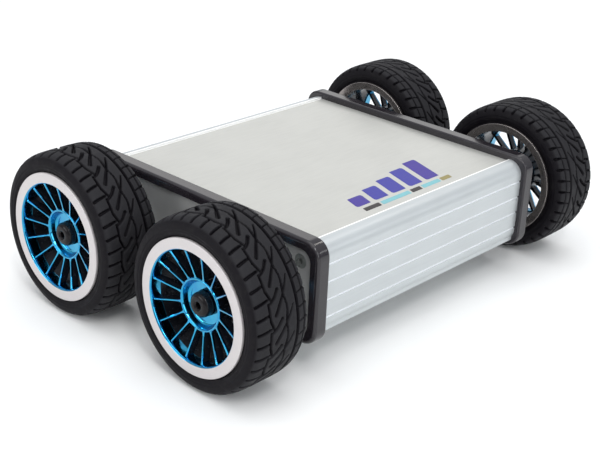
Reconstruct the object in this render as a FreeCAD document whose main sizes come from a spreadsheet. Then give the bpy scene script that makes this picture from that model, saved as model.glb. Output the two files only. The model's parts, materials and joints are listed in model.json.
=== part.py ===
"""Four wheel robot chassis: an aluminium box with a gearmotor and a wheel at each corner.

The origin is on the ground under the middle of the box. +Z is up, +X is forward and +Y is to
the left, along the axles. All sizes are in millimetres.
"""
import FreeCAD, Part

import math
import os
from types import SimpleNamespace

import Sketcher
from FreeCAD import Placement, Rotation, Vector

doc = FreeCAD.newDocument("RobotChassis")

PAST = 1.0      # how far a cut runs past the face that it opens
SPOKES = 16

# ---------------------------------------------------------------- driving dimensions

DIMENSIONS = [
    ("wheelbase", 77.0, "front axle to rear axle"),
    ("axle_height", 32.5, "ground to axle"),
    ("wheel_offset", 91.6, "chassis centre to the middle plane of a wheel"),
    ("tyre_radius", 32.5, "outside of the tread"),
    ("tyre_width", 25.7, "across the sidewalls"),
    ("rim_width", 26.0, "lip to lip"),
    ("lip_radius", 25.4, "outer lip of the rim"),
    ("back_lip_radius", 24.7, "inner lip of the rim"),
    ("lip_thick", 1.2, "thickness of both lips"),
    ("seat_radius", 22.9, "groove that the tyre bead sits in"),
    ("seat_width", 3.0, "width of that groove"),
    ("barrel_radius", 23.6, "barrel between the bead grooves"),
    ("barrel_bore", 21.3, "inside of the barrel"),
    ("hub_radius", 10.1, "ring where the spokes meet"),
    ("hub_recess", 8.6, "radius of the recess in the hub"),
    ("hub_face", 8.9, "front of the hub, from the wheel's middle plane"),
    ("hub_floor", 6.0, "floor of the hub recess, from the middle plane"),
    ("hub_web", 2.9, "back of the hub's web, from the middle plane"),
    ("hub_back", -2.1, "back of the hub, from the middle plane"),
    ("spoke_width", 1.3, "thickness of one spoke"),
    ("spoke_depth", 3.6, "depth of one spoke along the axle"),
    ("spoke_rise", 3.1, "how far a spoke climbs from hub to lip"),
    ("spoke_bite", 0.6, "overlap of a spoke with the hub and the barrel"),
    ("hub_taper", 0.6, "how much narrower the back of the hub is"),
    ("hex_width", 12.0, "across the flats of the drive hexagon"),
    ("hex_back", -3.1, "inner end of the hexagon"),
    ("adapter_back", -16.0, "inner end of the adapter's barrel"),
    ("adapter_radius", 5.0, "barrel of the adapter"),
    ("shaft_radius", 2.0, "gearmotor shaft"),
    ("shaft_reach", 21.5, "shaft beyond the gearbox face"),
    ("shaft_inside", 12.0, "shaft inside the gearbox"),
    ("shaft_flat", 0.5, "depth of the flat on the shaft"),
    ("shaft_slip", 0.03, "clearance of the adapter on the shaft and of its set screw"),
    ("screw_head", 4.75, "radius of the wheel screw's head"),
    ("screw_head_height", 3.8, "height of the wheel screw's head"),
    ("screw_reach", 10.9, "wheel screw under its head"),
    ("screw_chamfer", 1.2, "sloping edge of the wheel screw's head"),
    ("screw_key", 2.5, "hexagonal socket of the wheel screw, across its flats"),
    ("screw_key_depth", 2.2, "depth of that socket"),
    ("box_width", 120.5, "extrusion, along X"),
    ("box_height", 36.2, "extrusion, along Z"),
    ("box_length", 121.6, "extrusion, along Y"),
    ("box_middle", 32.3, "ground to the extrusion's centre line"),
    ("box_corner", 6.0, "radius of the extrusion's long edges"),
    ("wall", 2.0, "wall of the extrusion"),
    ("groove_pitch", 7.05, "between the grooves along the sides"),
    ("groove_width", 0.9, "width of one groove"),
    ("groove_depth", 0.5, "depth of one groove"),
    ("groove_drop", 0.4, "middle of the four grooves below the box's centre line"),
    ("cover_half", 53.4, "half the opening between the rails"),
    ("cover_sink", 0.6, "cover below the top of the rails"),
    ("cover_tongue", 2.2, "how far the cover reaches under each rail"),
    ("cover_thick", 2.4, "thickness of the cover"),
    ("cover_gap", 0.2, "between each end of the cover and the bezel"),
    ("rail_lip", 1.3, "thickness of the rail above the cover's tongue"),
    ("ledge_half", 52.0, "half the gap between the ledges under the cover"),
    ("ledge_thick", 1.8, "thickness of those ledges"),
    ("slip", 0.1, "clearance round a part that slides in"),
    ("port_x", 53.1, "screw ports from the centre line"),
    ("port_z", 11.3, "screw ports above and below the middle"),
    ("port_reach", 3.2, "metal round a screw port"),
    ("corner_screw", 12.0, "length of a corner screw"),
    ("head_spread", 1.3, "how far a sunk head reaches beyond its thread"),
    ("motor_screw", 6.0, "length of a motor screw under its head"),
    ("motor_head", 2.7, "radius of a motor screw's head"),
    ("motor_head_height", 1.8, "height of a motor screw's head"),
    ("socket_radius", 1.15, "hexagonal socket of the small screws, to its corners"),
    ("corner_key_depth", 1.0, "depth of a corner screw's socket"),
    ("motor_key_depth", 1.2, "depth of a motor screw's socket"),
    ("grip", 5.0, "set screw from the inner end of the adapter"),
    ("grub_sunk", 0.4, "set screw below the outside of the adapter"),
    ("grub_key", 0.85, "hexagonal socket of the set screw, to its corners"),
    ("grub_key_depth", 2.0, "depth of that socket from the outside of the adapter"),
    ("thread_radius", 1.5, "M3 thread"),
    ("thread_gap", 0.05, "clearance round a thread"),
    ("bezel_rise", 2.2, "bezel beyond the extrusion on each side"),
    ("bezel_depth", 6.4, "bezel along Y"),
    ("bezel_corner", 6.5, "radius of the bezel's corners"),
    ("bezel_round", 1.5, "rounding of the bezel's front edge"),
    ("bezel_back_round", 0.9, "rounding of the edge that stands over the extrusion"),
    ("flange_depth", 3.4, "part of the bezel behind the end panel"),
    ("flange_x", 54.0, "half the width of the hole in that flange"),
    ("flange_z", 13.4, "half its height"),
    ("flange_corner", 8.0, "its cut corners"),
    ("panel_x", 58.7, "half the width of the end panel"),
    ("panel_z", 16.6, "half its height"),
    ("panel_thick", 2.0, "thickness of the end panel"),
    ("panel_corner", 4.4, "radius of its corners"),
    ("motor_radius", 12.5, "gearbox"),
    ("gearbox_length", 21.0, "gearbox, behind the end panel"),
    ("boss_radius", 3.5, "boss round the output shaft"),
    ("boss_length", 2.5, "length of that boss"),
    ("can_radius", 12.2, "motor behind the gearbox"),
    ("can_length", 30.0, "length of the motor"),
    ("cap_radius", 10.0, "plastic end cap of the motor"),
    ("cap_length", 2.0, "thickness of that cap"),
    ("motor_holes", 8.5, "motor screws from the shaft"),
    ("tab_length", 4.5, "solder tab of a motor"),
    ("tab_width", 2.8, "width of a tab"),
    ("tab_thick", 0.5, "thickness of a tab"),
    ("tab_spread", 7.0, "tabs above and below the motor's axis"),
    ("battery_width", 37.6, "two cells side by side"),
    ("battery_height", 19.0, "battery pack"),
    ("battery_length", 70.0, "battery pack, along Y"),
    ("battery_shift", -21.0, "middle of the pack from the chassis centre"),
    ("pad_thick", 1.5, "foam under the pack"),
    ("pad_width", 17.0, "width of that foam"),
    ("pad_short", 10.0, "how much shorter than the pack it is"),
    ("board_width", 46.0, "controller board, along X"),
    ("board_length", 38.0, "controller board, along Y"),
    ("board_shift", 38.0, "middle of the board from the chassis centre"),
    ("board_thick", 1.6, "controller board"),
    ("board_corner", 2.0, "radius of its corners"),
    ("board_margin", 4.0, "posts in from the board's edges"),
    ("post_height", 7.0, "floor to board"),
    ("post_radius", 2.6, "standoff"),
    ("foot_spread", 1.4, "foot of a standoff beyond its post"),
    ("foot_thick", 1.2, "thickness of that foot"),
    ("peg_radius", 1.5, "peg through the board"),
    ("peg_rise", 0.8, "peg above the board"),
    ("chip_length", 10.0, "driver chip, along X"),
    ("chip_width", 7.5, "driver chip, along Y"),
    ("chip_height", 2.3, "driver chip"),
    ("chip_spread", 8.0, "chips from the centre line"),
    ("chip_back", 4.0, "chips behind the board's middle"),
    ("clamp_pitch", 7.5, "between screw terminals"),
    ("clamp_depth", 8.0, "screw terminal, along Y"),
    ("clamp_height", 9.0, "screw terminal"),
    ("clamp_ahead", 10.0, "terminals ahead of the board's middle"),
    ("tread_thick", 2.4, "tread above the hollow of the tyre"),
    ("side_thick", 2.2, "sidewall of the tyre"),
    ("foam_gap", 0.6, "foam insert below the tread"),
]


class Size:
    """A length with both its value and the sheet expression that it comes from."""

    def __init__(self, value, text):
        self.value = value
        self.text = text

    @staticmethod
    def of(number):
        return number if isinstance(number, Size) else Size(float(number), repr(float(number)))

    def joined(self, symbol, other, value):
        return Size(value, "({} {} {})".format(self.text, symbol, other.text))

    def __add__(self, other):
        other = Size.of(other)
        return self.joined("+", other, self.value + other.value)

    def __sub__(self, other):
        other = Size.of(other)
        return self.joined("-", other, self.value - other.value)

    def __mul__(self, other):
        other = Size.of(other)
        return self.joined("*", other, self.value * other.value)

    def __truediv__(self, other):
        other = Size.of(other)
        return self.joined("/", other, self.value / other.value)

    def __neg__(self):
        return self * -1


sheet = doc.addObject("Spreadsheet::Sheet", "Dimensions")
size = SimpleNamespace()
for row, (alias, value, note) in enumerate(DIMENSIONS, start=1):
    sheet.set("A{}".format(row), note)
    sheet.set("B{}".format(row), str(value))
    sheet.setAlias("B{}".format(row), alias)
    setattr(size, alias, Size(value, "Dimensions." + alias))
doc.recompute()

parts = []

# ---------------------------------------------------------------- sketches and features


def bind(thing, **sizes):
    """Sets properties of a document object from sizes, as expressions on the sheet."""
    for name, wanted in sizes.items():
        thing.setExpression(name.replace("__", "."), Size.of(wanted).text)


def keep(thing, label):
    """Counts an object among the sub-parts, under the name of its file."""
    thing.Label = label
    parts.append(thing)
    return thing


def new_body(label):
    return keep(doc.addObject("PartDesign::Body", label + "_body"), label)


def new_sketch(body, role, name, offset=0):
    """An empty sketch on one of the body's origin planes, offset along its normal."""
    sketch = body.newObject("Sketcher::SketchObject", name)
    plane = next(item for item in body.Origin.OriginFeatures if item.Role == role)
    sketch.AttachmentSupport = [(plane, "")]
    sketch.MapMode = "FlatFace"
    bind(sketch, AttachmentOffset__Base__z=offset)
    return sketch


def constrain(sketch, kind, *where, to):
    to = Size.of(to)
    index = sketch.addConstraint(Sketcher.Constraint(kind, *where, to.value))
    sketch.setExpression("Constraints[{}]".format(index), to.text)


def pin(sketch, shape, point, across, up):
    """Fixes one point of a sketch shape at a distance from the sketch's origin."""
    for kind, axis, distance in (("DistanceX", -2, across), ("DistanceY", -1, up)):
        distance = Size.of(distance)
        if distance.value == 0:
            sketch.addConstraint(Sketcher.Constraint("PointOnObject", shape, point, axis))
        else:
            constrain(sketch, kind, -1, 1, shape, point, to=distance)


def flat(across, up):
    return Vector(Size.of(across).value, Size.of(up).value, 0)


def outline(sketch, corners):
    """Closed outline of straight lines."""
    first = sketch.GeometryCount
    count = len(corners)
    for index in range(count):
        start = flat(*corners[index])
        end = flat(*corners[(index + 1) % count])
        sketch.addGeometry(Part.LineSegment(start, end))
    for index in range(count):
        following = first + (index + 1) % count
        sketch.addConstraint(Sketcher.Constraint("Coincident", first + index, 2, following, 1))
    for index, (across, up) in enumerate(corners):
        pin(sketch, first + index, 1, across, up)


def mirrored(half):
    """The corners of one side, followed by the same corners on the other side of the axis."""
    return half + [(-across, up) for across, up in reversed(half)]


def circle(sketch, across, up, radius):
    radius = Size.of(radius)
    shape = sketch.addGeometry(Part.Circle(flat(across, up), Vector(0, 0, 1), radius.value))
    pin(sketch, shape, 3, across, up)
    constrain(sketch, "Radius", shape, to=radius)


def rounded_box(sketch, half_width, half_height, radius):
    """Rectangle about the sketch's origin, with round corners."""
    first = sketch.GeometryCount
    inner_x = half_width - radius
    inner_y = half_height - radius
    corners = [(inner_x, inner_y), (-inner_x, inner_y), (-inner_x, -inner_y), (inner_x, -inner_y)]
    reach = radius.value
    for index, (across, up) in enumerate(corners):
        start = index * math.pi / 2
        bend = Part.Circle(flat(across, up), Vector(0, 0, 1), reach)
        sketch.addGeometry(Part.ArcOfCircle(bend, start, start + math.pi / 2))
        leaving = flat(across, up) + Vector(math.cos(start + math.pi / 2),
                                            math.sin(start + math.pi / 2), 0) * reach
        target = flat(*corners[(index + 1) % 4])
        arriving = target + Vector(math.cos(start + math.pi / 2),
                                   math.sin(start + math.pi / 2), 0) * reach
        sketch.addGeometry(Part.LineSegment(leaving, arriving))
    for index, (across, up) in enumerate(corners):
        arc = first + 2 * index
        following = first + (2 * index + 2) % 8
        sketch.addConstraint(Sketcher.Constraint("Tangent", arc, 2, arc + 1, 1))
        sketch.addConstraint(Sketcher.Constraint("Tangent", arc + 1, 2, following, 1))
        pin(sketch, arc, 3, across, up)
        constrain(sketch, "Radius", arc, to=radius)


def hexagon(sketch, width):
    """Hexagon about the sketch's origin, with two corners on the vertical axis."""
    reach = width / math.sqrt(3)
    turns = [math.radians(60 * index + 90) for index in range(6)]
    corners = [(reach * round(math.cos(turn), 9), reach * round(math.sin(turn), 9))
               for turn in turns]
    outline(sketch, corners)


def pad(body, sketch, length, both_ways=False):
    feature = body.newObject("PartDesign::Pad", sketch.Name + "_pad")
    feature.Profile = sketch
    feature.SideType = "Symmetric" if both_ways else "One side"
    bind(feature, Length=length)
    sketch.Visibility = False
    return feature


def pocket(body, sketch, length, both_ways=False):
    """Cuts against the sketch's normal, and checks that it did cut."""
    doc.recompute()
    before = body.Shape.Volume
    feature = body.newObject("PartDesign::Pocket", sketch.Name + "_pocket")
    feature.Profile = sketch
    feature.SideType = "Symmetric" if both_ways else "One side"
    bind(feature, Length=length)
    doc.recompute()
    if body.Shape.Volume >= before - 1e-6:
        raise RuntimeError("{} cuts nothing".format(feature.Name))
    return feature


def revolve(body, sketch):
    """Full turn about the sketch's vertical axis."""
    feature = body.newObject("PartDesign::Revolution", sketch.Name + "_turned")
    feature.Profile = sketch
    feature.ReferenceAxis = (sketch, ["V_Axis"])
    feature.Angle = 360
    return feature


def section(pairs):
    """Points of a wheel's cross-section: radius, then distance outwards along the axle."""
    return [(Size.of(radius), -Size.of(outwards)) for radius, outwards in pairs]


def cylinder(radius, length, name):
    """Round bar whose axis is -Y, from its placement's origin."""
    bar = doc.addObject("Part::Cylinder", name)
    bind(bar, Radius=radius, Height=length)
    bar.Placement = Placement(Vector(), Rotation(Vector(1, 0, 0), 90))
    return bar


def move(thing, x=0, y=0, z=0):
    bind(thing, Placement__Base__x=x, Placement__Base__y=y, Placement__Base__z=z)
    return thing


def fused(name, *pieces):
    whole = doc.addObject("Part::MultiFuse", name)
    whole.Shapes = list(pieces)
    return whole


def cut(name, base, tool):
    rest = doc.addObject("Part::Cut", name)
    rest.Base = base
    rest.Tool = tool
    return rest


def group(label, pieces):
    """Separate identical solids that share one node."""
    bundle = doc.addObject("Part::Compound", label + "_group")
    bundle.Links = pieces
    return keep(bundle, label)


# ---------------------------------------------------------------- where pieces stand

HALF_TURN = Rotation(Vector(0, 0, 1), 180)
SIDES = {"right": Rotation(), "left": HALF_TURN}

# Name, +1 in front or -1 behind, side, and how far the wheel is turned on its axle.
CORNERS = [
    ("front_right", 1, "right", 12.4),
    ("rear_right", -1, "right", -2.0),
    ("front_left", 1, "left", 5.0),
    ("rear_left", -1, "left", 9.0),
]

box_end = size.box_length / 2
bezel_front = box_end + size.bezel_depth
panel_back = box_end + size.flange_depth
panel_front = panel_back + size.panel_thick
axle_rise = size.axle_height - size.box_middle


def stand_end(thing, side):
    """Puts a piece that was drawn for the right end, about the box's centre line, at an end."""
    thing.Placement = Placement(Vector(), SIDES[side])
    return move(thing, z=size.box_middle)


def stand_axle(thing, forward, side):
    """Puts a piece that was drawn about the axle, pointing right, on its axle."""
    thing.Placement = Placement(Vector(), SIDES[side].multiply(thing.Placement.Rotation))
    return move(thing, x=size.wheelbase / 2 * forward, z=size.axle_height)


def stand_wheel(thing, forward, side, turn):
    """Puts a piece that was drawn about the middle of a wheel in its wheel."""
    outwards = -1 if side == "right" else 1
    thing.Placement = Placement(Vector(), SIDES[side].multiply(Rotation(Vector(0, 1, 0), -turn)))
    return move(thing, x=size.wheelbase / 2 * forward, y=size.wheel_offset * outwards,
                z=size.axle_height)


# ---------------------------------------------------------------- the box


def make_extrusion():
    body = new_body("body_extrusion")
    half_width = size.box_width / 2
    half_height = size.box_height / 2
    inside_x = half_width - size.wall
    rail_under = half_height - size.rail_lip
    slot_floor = half_height - size.cover_sink - size.cover_thick - size.slip
    ledge_under = slot_floor - size.ledge_thick
    tongue_end = size.cover_half + size.cover_tongue + size.slip * 2

    shell = new_sketch(body, "XZ_Plane", "shell")
    rounded_box(shell, half_width, half_height, size.box_corner)
    pad(body, shell, size.box_length, both_ways=True)

    hollow = new_sketch(body, "XZ_Plane", "hollow")
    outline(hollow, mirrored([(inside_x, -(half_height - size.wall)), (inside_x, ledge_under),
                              (size.ledge_half, ledge_under), (size.ledge_half, slot_floor)]))
    pocket(body, hollow, size.box_length, both_ways=True)

    slot = new_sketch(body, "XZ_Plane", "cover_slot")
    outline(slot, mirrored([(tongue_end, slot_floor), (tongue_end, rail_under),
                            (size.cover_half, rail_under), (size.cover_half, half_height + PAST)]))
    pocket(body, slot, size.box_length, both_ways=True)

    for right in (1, -1):
        for upper in (1, -1):
            name = "port_{}{}".format("r" if right > 0 else "l", "u" if upper > 0 else "d")
            port = new_sketch(body, "XZ_Plane", name)
            wall_x = (half_width - size.wall / 2) * right
            face_x = (size.port_x - size.port_reach) * right
            face_z = (size.port_z - size.port_reach) * upper
            root_z = ledge_under + size.ledge_thick / 2 if upper > 0 else size.wall / 2 - half_height
            outline(port, [(face_x, face_z), (wall_x, face_z), (wall_x, root_z), (face_x, root_z)])
            pad(body, port, size.box_length, both_ways=True)

    threads = new_sketch(body, "XZ_Plane", "port_threads")
    for right in (1, -1):
        for upper in (1, -1):
            circle(threads, size.port_x * right, size.port_z * upper,
                   size.thread_radius + size.thread_gap)
    pocket(body, threads, size.box_length, both_ways=True)

    grooves = new_sketch(body, "XZ_Plane", "side_grooves")
    for right in (1, -1):
        outer = (half_width + PAST) * right
        inner = (half_width - size.groove_depth) * right
        for step in (-1.5, -0.5, 0.5, 1.5):
            low = size.groove_pitch * step - size.groove_drop - size.groove_width / 2
            high = low + size.groove_width
            outline(grooves, [(outer, low), (outer, high), (inner, high), (inner, low)])
    pocket(body, grooves, size.box_length, both_ways=True)
    move(body, z=size.box_middle)


def make_cover():
    body = new_body("top_cover")
    top = size.box_height / 2 - size.cover_sink
    under = top - size.cover_thick
    shoulder = size.box_height / 2 - size.rail_lip - size.slip
    tongue = size.cover_half + size.cover_tongue
    sketch = new_sketch(body, "XZ_Plane", "cover_section")
    outline(sketch, mirrored([(tongue, under), (tongue, shoulder),
                              (size.cover_half - size.slip, shoulder),
                              (size.cover_half - size.slip, top)]))
    pad(body, sketch, size.box_length - size.cover_gap * 2, both_ways=True)
    move(body, z=size.box_middle)


def soften_end(body, block, reach, radius, name):
    """Rounds the edges of the block's flat end that is that far outwards."""
    doc.recompute()
    edges = ["Edge{}".format(index) for index, edge in enumerate(block.Shape.Edges, start=1)
             if all(abs(vertex.Point.y + reach.value) < 1e-6 for vertex in edge.Vertexes)]
    soft = body.newObject("PartDesign::Fillet", name)
    soft.Base = (block, edges)
    bind(soft, Radius=radius)
    return soft


def make_bezel(side):
    body = new_body("bezel_" + side)
    half_width = size.box_width / 2 + size.bezel_rise
    half_height = size.box_height / 2 + size.bezel_rise
    ring = new_sketch(body, "XZ_Plane", "ring_" + side, box_end)
    rounded_box(ring, half_width, half_height, size.bezel_corner)
    block = pad(body, ring, size.bezel_depth)
    block = soften_end(body, block, bezel_front, size.bezel_round, "front_edge_" + side)
    soften_end(body, block, box_end, size.bezel_back_round, "back_edge_" + side)

    window = new_sketch(body, "XZ_Plane", "window_" + side, bezel_front)
    rounded_box(window, size.panel_x + size.slip, size.panel_z + size.slip,
                size.panel_corner + size.slip)
    pocket(body, window, size.bezel_depth - size.flange_depth)

    opening = new_sketch(body, "XZ_Plane", "opening_" + side, bezel_front)
    near_x = size.flange_x - size.flange_corner
    near_z = size.flange_z - size.flange_corner
    outline(opening, mirrored([(near_x, -size.flange_z), (size.flange_x, -near_z),
                               (size.flange_x, near_z), (near_x, size.flange_z)]))
    pocket(body, opening, size.bezel_depth)

    holes = new_sketch(body, "XZ_Plane", "bezel_holes_" + side, bezel_front)
    for right in (1, -1):
        for upper in (1, -1):
            circle(holes, size.port_x * right, size.port_z * upper, size.thread_radius + size.slip)
    pocket(body, holes, size.bezel_depth)
    stand_end(body, side)


def make_end_panel(side):
    body = new_body("end_panel_" + side)
    plate = new_sketch(body, "XZ_Plane", "plate_" + side, panel_back)
    rounded_box(plate, size.panel_x, size.panel_z, size.panel_corner)
    pad(body, plate, size.panel_thick)

    holes = new_sketch(body, "XZ_Plane", "motor_holes_" + side, panel_front)
    for forward in (1, -1):
        axle = size.wheelbase / 2 * forward
        circle(holes, axle, axle_rise, size.boss_radius + size.slip)
        for step in (1, -1):
            circle(holes, axle + size.motor_holes * step, axle_rise,
                   size.thread_radius + size.slip)
    pocket(body, holes, size.panel_thick)

    corners = new_sketch(body, "XZ_Plane", "corner_holes_" + side, panel_front)
    for right in (1, -1):
        for upper in (1, -1):
            circle(corners, size.port_x * right, size.port_z * upper,
                   size.thread_radius + size.slip)
    doc.recompute()
    sunk = body.newObject("PartDesign::Hole", "sunk_holes_" + side)
    sunk.Profile = corners
    sunk.DepthType = "ThroughAll"
    sunk.HoleCutType = "Countersink"
    sunk.HoleCutCountersinkAngle = 90
    bind(sunk, Diameter=(size.thread_radius + size.slip) * 2,
         HoleCutDiameter=(size.thread_radius + size.slip) * 2 + size.head_spread * 2)
    stand_end(body, side)


def socket(name, depth, front):
    """Six-sided bar that cuts the driver's socket down from a screw's front."""
    tool = doc.addObject("Part::Prism", name)
    tool.Polygon = 6
    bind(tool, Circumradius=size.socket_radius, Height=depth + PAST)
    tool.Placement = Placement(Vector(), Rotation(Vector(1, 0, 0), 90))
    return move(tool, y=-(front - depth))


def make_panel_screws(side):
    screws = []
    for index in range(4):
        right = 1 if index % 2 else -1
        upper = 1 if index > 1 else -1
        name = "corner_screw_{}_{}".format(side, index)
        head = doc.addObject("Part::Cone", name + "_head")
        bind(head, Radius1=size.thread_radius, Radius2=size.thread_radius + size.head_spread,
             Height=size.head_spread)
        head.Placement = Placement(Vector(), Rotation(Vector(1, 0, 0), 90))
        move(head, y=-(panel_front - size.head_spread - size.slip))
        shank = cylinder(size.thread_radius, size.corner_screw - size.head_spread, name + "_shank")
        move(shank, y=-(panel_front - size.corner_screw - size.slip))
        blank = fused(name + "_blank", head, shank)
        screw = cut(name, blank, socket(name + "_socket", size.corner_key_depth,
                                       panel_front - size.slip))
        screws.append(move(screw, x=size.port_x * right, z=size.port_z * upper))
    stand_end(group("panel_screws_" + side, screws), side)


# ---------------------------------------------------------------- gearmotors


def make_gearmotor(corner, forward, side):
    back = panel_back - size.gearbox_length
    body = new_body("gearbox_" + corner)
    case = new_sketch(body, "XZ_Plane", "case_" + corner, back)
    circle(case, 0, 0, size.motor_radius)
    pad(body, case, size.gearbox_length)
    boss = new_sketch(body, "XZ_Plane", "boss_" + corner, panel_back)
    circle(boss, 0, 0, size.boss_radius)
    pad(body, boss, size.boss_length)
    bore = new_sketch(body, "XZ_Plane", "bore_" + corner, panel_back + size.boss_length)
    circle(bore, 0, 0, size.shaft_radius + size.thread_gap)
    pocket(body, bore, size.boss_length + size.shaft_inside + size.slip)
    holes = new_sketch(body, "XZ_Plane", "gearbox_holes_" + corner, panel_back)
    for step in (1, -1):
        circle(holes, size.motor_holes * step, 0, size.thread_radius + size.thread_gap)
    pocket(body, holes, size.motor_screw - size.panel_thick + PAST)
    stand_axle(body, forward, side)

    can = new_body("motor_can_" + corner)
    tube = new_sketch(can, "XZ_Plane", "tube_" + corner, back - size.can_length)
    circle(tube, 0, 0, size.can_radius)
    pad(can, tube, size.can_length)
    stand_axle(can, forward, side)

    cap = new_body("motor_end_cap_" + corner)
    disc = new_sketch(cap, "XZ_Plane", "disc_" + corner,
                      back - size.can_length - size.cap_length)
    circle(disc, 0, 0, size.cap_radius)
    pad(cap, disc, size.cap_length)
    stand_axle(cap, forward, side)


def make_terminals():
    """Two solder tabs on each motor, all alike, in one node."""
    inner = panel_back - size.gearbox_length - size.can_length - size.cap_length
    tabs = []
    for corner, forward, side, _ in CORNERS:
        for upper in (1, -1):
            tab = doc.addObject("Part::Box", "tab_{}_{}".format(corner, "u" if upper > 0 else "d"))
            bind(tab, Length=size.tab_width, Width=size.tab_length, Height=size.tab_thick)
            start = inner - size.tab_length if side == "left" else -inner
            move(tab, x=size.wheelbase / 2 * forward - size.tab_width / 2, y=start,
                 z=size.axle_height + size.tab_spread * upper)
            tabs.append(tab)
    group("motor_terminals", tabs)


def make_motor_screws(corner, forward, side):
    screws = []
    for step in (1, -1):
        name = "motor_screw_{}_{}".format(corner, "a" if step > 0 else "b")
        head = move(cylinder(size.motor_head, size.motor_head_height, name + "_head"), y=-panel_front)
        shank = move(cylinder(size.thread_radius, size.motor_screw, name + "_shank"),
                     y=-(panel_front - size.motor_screw))
        blank = fused(name + "_blank", head, shank)
        screw = cut(name, blank, socket(name + "_socket", size.motor_key_depth,
                                         panel_front + size.motor_head_height))
        screws.append(move(screw, x=size.motor_holes * step))
    stand_axle(group("motor_screws_" + corner, screws), forward, side)


# ---------------------------------------------------------------- wheels


def make_output_shaft(corner, forward, side, turn):
    """Round shaft with a flat where the set screw grips it."""
    body = new_body("output_shaft_" + corner)
    inner_end = panel_back - size.shaft_inside - size.wheel_offset
    rod = new_sketch(body, "XZ_Plane", "rod_" + corner, inner_end)
    circle(rod, 0, 0, size.shaft_radius)
    pad(body, rod, size.shaft_inside + size.shaft_reach)
    tip = panel_back + size.shaft_reach - size.wheel_offset
    flat_cut = new_sketch(body, "XZ_Plane", "flat_" + corner, tip)
    low = size.shaft_radius - size.shaft_flat
    high = size.shaft_radius + PAST
    outline(flat_cut, mirrored([(size.shaft_radius, low), (size.shaft_radius, high)]))
    pocket(body, flat_cut, size.shaft_reach - size.boss_length - size.thread_radius)
    stand_wheel(body, forward, side, turn)


def make_hex_adapter(corner, forward, side, turn):
    body = new_body("hex_adapter_" + corner)
    barrel = new_sketch(body, "XZ_Plane", "adapter_barrel_" + corner, size.adapter_back)
    circle(barrel, 0, 0, size.adapter_radius)
    pad(body, barrel, size.hex_back - size.adapter_back)
    drive = new_sketch(body, "XZ_Plane", "drive_" + corner, size.hex_back)
    hexagon(drive, size.hex_width)
    pad(body, drive, size.hub_web - size.hex_back - size.thread_gap)
    bore = new_sketch(body, "XZ_Plane", "adapter_bore_" + corner, size.hub_web)
    circle(bore, 0, 0, size.shaft_radius + size.shaft_slip)
    pocket(body, bore, size.hub_web - size.adapter_back + PAST)
    tapped = new_sketch(body, "XY_Plane", "tapped_" + corner, size.adapter_radius + PAST)
    circle(tapped, 0, -(size.adapter_back + size.grip), size.thread_radius + size.shaft_slip)
    pocket(body, tapped, size.adapter_radius + PAST)
    stand_wheel(body, forward, side, turn)


def make_set_screw(corner, forward, side, turn):
    low = size.shaft_radius - size.shaft_flat
    stem = doc.addObject("Part::Cylinder", "grub_stem_" + corner)
    bind(stem, Radius=size.thread_radius, Height=size.adapter_radius - low - size.grub_sunk)
    move(stem, y=-(size.adapter_back + size.grip), z=low)
    key = doc.addObject("Part::Prism", "grub_key_" + corner)
    key.Polygon = 6
    bind(key, Circumradius=size.grub_key, Height=size.grub_key_depth + PAST)
    move(key, y=-(size.adapter_back + size.grip), z=size.adapter_radius - size.grub_key_depth)
    screw = keep(cut("grub_" + corner, stem, key), "set_screw_" + corner)
    stand_wheel(screw, forward, side, turn)


def make_rim(corner, forward, side, turn):
    """Barrel with two lips, then spokes all round, then the hub that joins them."""
    body = new_body("rim_" + corner)
    edge = size.rim_width / 2
    lip = edge - size.lip_thick
    seat = lip - size.seat_width
    hoop = new_sketch(body, "XY_Plane", "hoop_" + corner)
    outline(hoop, section([
        (size.barrel_bore, edge), (size.lip_radius, edge), (size.lip_radius, lip),
        (size.seat_radius, lip), (size.seat_radius, seat), (size.barrel_radius, seat),
        (size.barrel_radius, -seat), (size.seat_radius, -seat), (size.seat_radius, -lip),
        (size.back_lip_radius, -lip), (size.back_lip_radius, -edge), (size.barrel_bore, -edge),
    ]))
    revolve(body, hoop)

    blade = new_sketch(body, "XY_Plane", "blade_" + corner)
    root = size.hub_radius - size.spoke_bite
    tip = size.barrel_bore + size.spoke_bite
    outline(blade, section([
        (root, size.hub_face), (tip, size.hub_face + size.spoke_rise),
        (tip, size.hub_face + size.spoke_rise - size.spoke_depth),
        (root, size.hub_face - size.spoke_depth),
    ]))
    spoke = pad(body, blade, size.spoke_width, both_ways=True)
    doc.recompute()
    spokes = body.newObject("PartDesign::PolarPattern", "spokes_" + corner)
    spokes.Originals = [spoke]
    spokes.Axis = (blade, ["V_Axis"])
    spokes.Angle = 360
    spokes.Occurrences = SPOKES
    body.Tip = spokes
    doc.recompute()

    centre = new_sketch(body, "XY_Plane", "centre_" + corner)
    outline(centre, section([
        (size.shaft_radius + size.slip, size.hub_floor), (size.hub_recess, size.hub_floor),
        (size.hub_recess, size.hub_face), (size.hub_radius, size.hub_face),
        (size.hub_radius, size.hub_web), (size.hub_radius - size.hub_taper, size.hub_back),
        (size.shaft_radius + size.slip, size.hub_back),
    ]))
    revolve(body, centre)
    doc.recompute()
    seat_hex = new_sketch(body, "XZ_Plane", "hex_seat_" + corner, size.hub_web)
    hexagon(seat_hex, size.hex_width + size.slip)
    pocket(body, seat_hex, size.hub_web - size.hub_back + PAST)
    stand_wheel(body, forward, side, turn)


# The shoulder from the widest point up to the tread: below the tread, in from the sidewall.
TYRE_SHOULDER = [(4.5, 0.0), (1.8, 0.6), (0.6, 2.0), (0.1, 5.5)]


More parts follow.
